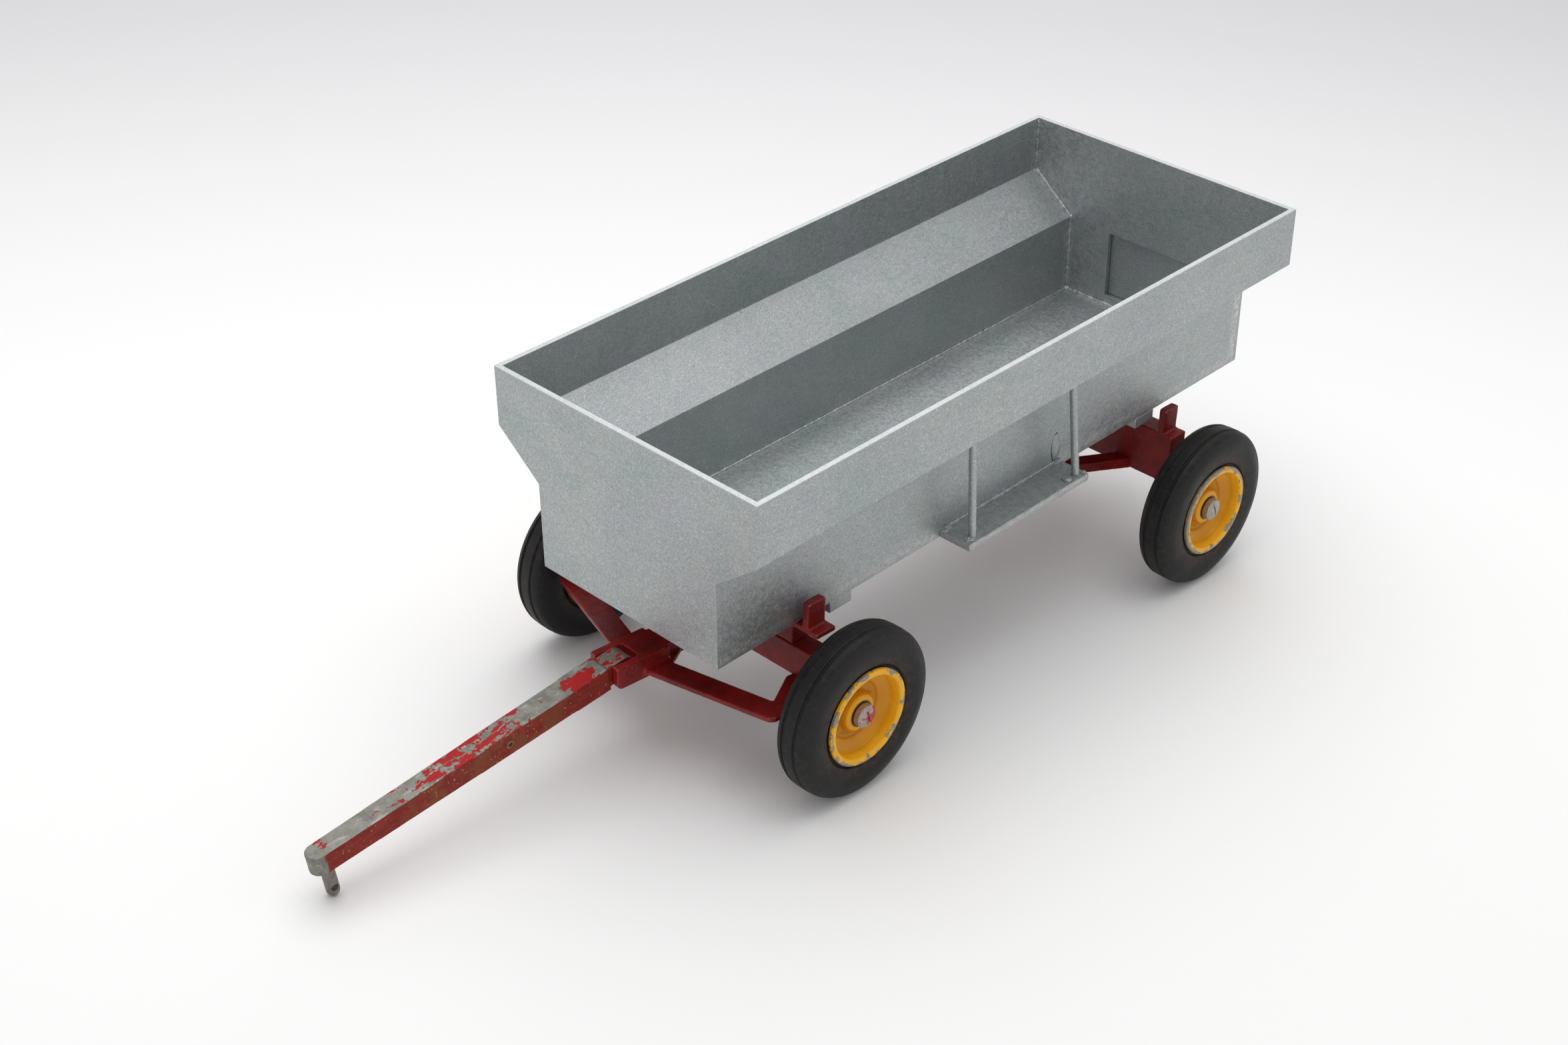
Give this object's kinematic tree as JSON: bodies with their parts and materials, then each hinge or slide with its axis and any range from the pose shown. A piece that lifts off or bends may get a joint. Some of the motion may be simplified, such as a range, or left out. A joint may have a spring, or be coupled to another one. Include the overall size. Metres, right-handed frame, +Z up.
{
  "type": "toy gravity wagon",
  "caption": "Toy farm wagon with a flared silver grain box, a rear slide gate, a side tray, a steered front axle, a hinged tongue with a drop pin, and free-turning wheels with rubber tyres.",
  "frame": {"origin": "on the ground, at the middle of the overall length and width", "axes": "+Z up, -Y forward towards the tongue, +X the wagon's left side, where the tray is"},
  "size_m": [0.1314, 0.3756, 0.1253],
  "materials": {
    "box_paint": "satin silver paint, fine-grained",
    "gear_paint": "dark red enamel, worn to bare metal at the edges",
    "bare_metal": "dull bare zinc and steel",
    "tyre": "matt charcoal rubber",
    "rim_paint": "yellow enamel, chipped at the flange"
  },
  "bodies": {
    "wagon": {"floor_sheet": "box_paint", "side_sheet_left": "box_paint", "side_sheet_right": "box_paint", "end_panel_front": "box_paint", "end_panel_rear": "box_paint", "sill_front": "box_paint", "sill_rear": "box_paint", "tray": "box_paint", "rod_front": "box_paint", "rod_rear": "box_paint", "gate_guide_left": "box_paint", "gate_guide_right": "box_paint", "gate_stop": "box_paint", "bolster_front": "gear_paint", "posts_front": "gear_paint", "saddle_front": "gear_paint", "kingpin": "bare_metal", "reach": "gear_paint", "hound_left": "gear_paint", "hound_right": "gear_paint", "bolster_rear": "gear_paint", "posts_rear": "gear_paint", "saddle_rear": "gear_paint", "lugs_rear": "gear_paint", "axle_pins_rear": "bare_metal"},
    "gate": {"gate_plate": "box_paint", "gate_handle": "box_paint"},
    "front_axle": {"beam_front": "gear_paint", "lugs_front": "gear_paint", "steering_casting": "gear_paint", "axle_pins_front": "bare_metal", "tongue_pin": "gear_paint"},
    "tongue": {"tongue": "gear_paint", "hitch_pin": "bare_metal"},
    "wheel_front_left": {"tyre_front_left": "tyre", "rim_front_left": "rim_paint"},
    "wheel_front_right": {"tyre_front_right": "tyre", "rim_front_right": "rim_paint"},
    "wheel_rear_left": {"tyre_rear_left": "tyre", "rim_rear_left": "rim_paint"},
    "wheel_rear_right": {"tyre_rear_right": "tyre", "rim_rear_right": "rim_paint"}
  },
  "joints": [
    {"name": "steer", "type": "hinge", "parent": "wagon", "child": "front_axle", "pos_m": [0, -0.03621, 0.037], "axis": [0, 0, 1], "range_deg": [-22, 22]},
    {"name": "tongue_lift", "type": "hinge", "parent": "front_axle", "child": "tongue", "pos_m": [-0.00192, -0.07547, 0.0329], "axis": [-0.9988, 0.0489, 0], "range_deg": [0, 60]},
    {"name": "gate_lift", "type": "slide", "parent": "wagon", "child": "gate", "axis": [0, -0.0461, 0.9989], "range_m": [0, 0.027]},
    {"name": "spin_front_left", "type": "hinge", "parent": "front_axle", "child": "wheel_front_left", "pos_m": [0.059, -0.03621, 0.0282], "axis": [1, 0, 0], "continuous": true},
    {"name": "spin_front_right", "type": "hinge", "parent": "front_axle", "child": "wheel_front_right", "pos_m": [-0.059, -0.03621, 0.0282], "axis": [1, 0, 0], "continuous": true},
    {"name": "spin_rear_left", "type": "hinge", "parent": "wagon", "child": "wheel_rear_left", "pos_m": [0.059, 0.13819, 0.0282], "axis": [1, 0, 0], "continuous": true},
    {"name": "spin_rear_right", "type": "hinge", "parent": "wagon", "child": "wheel_rear_right", "pos_m": [-0.059, 0.13819, 0.0282], "axis": [1, 0, 0], "continuous": true}
  ]
}
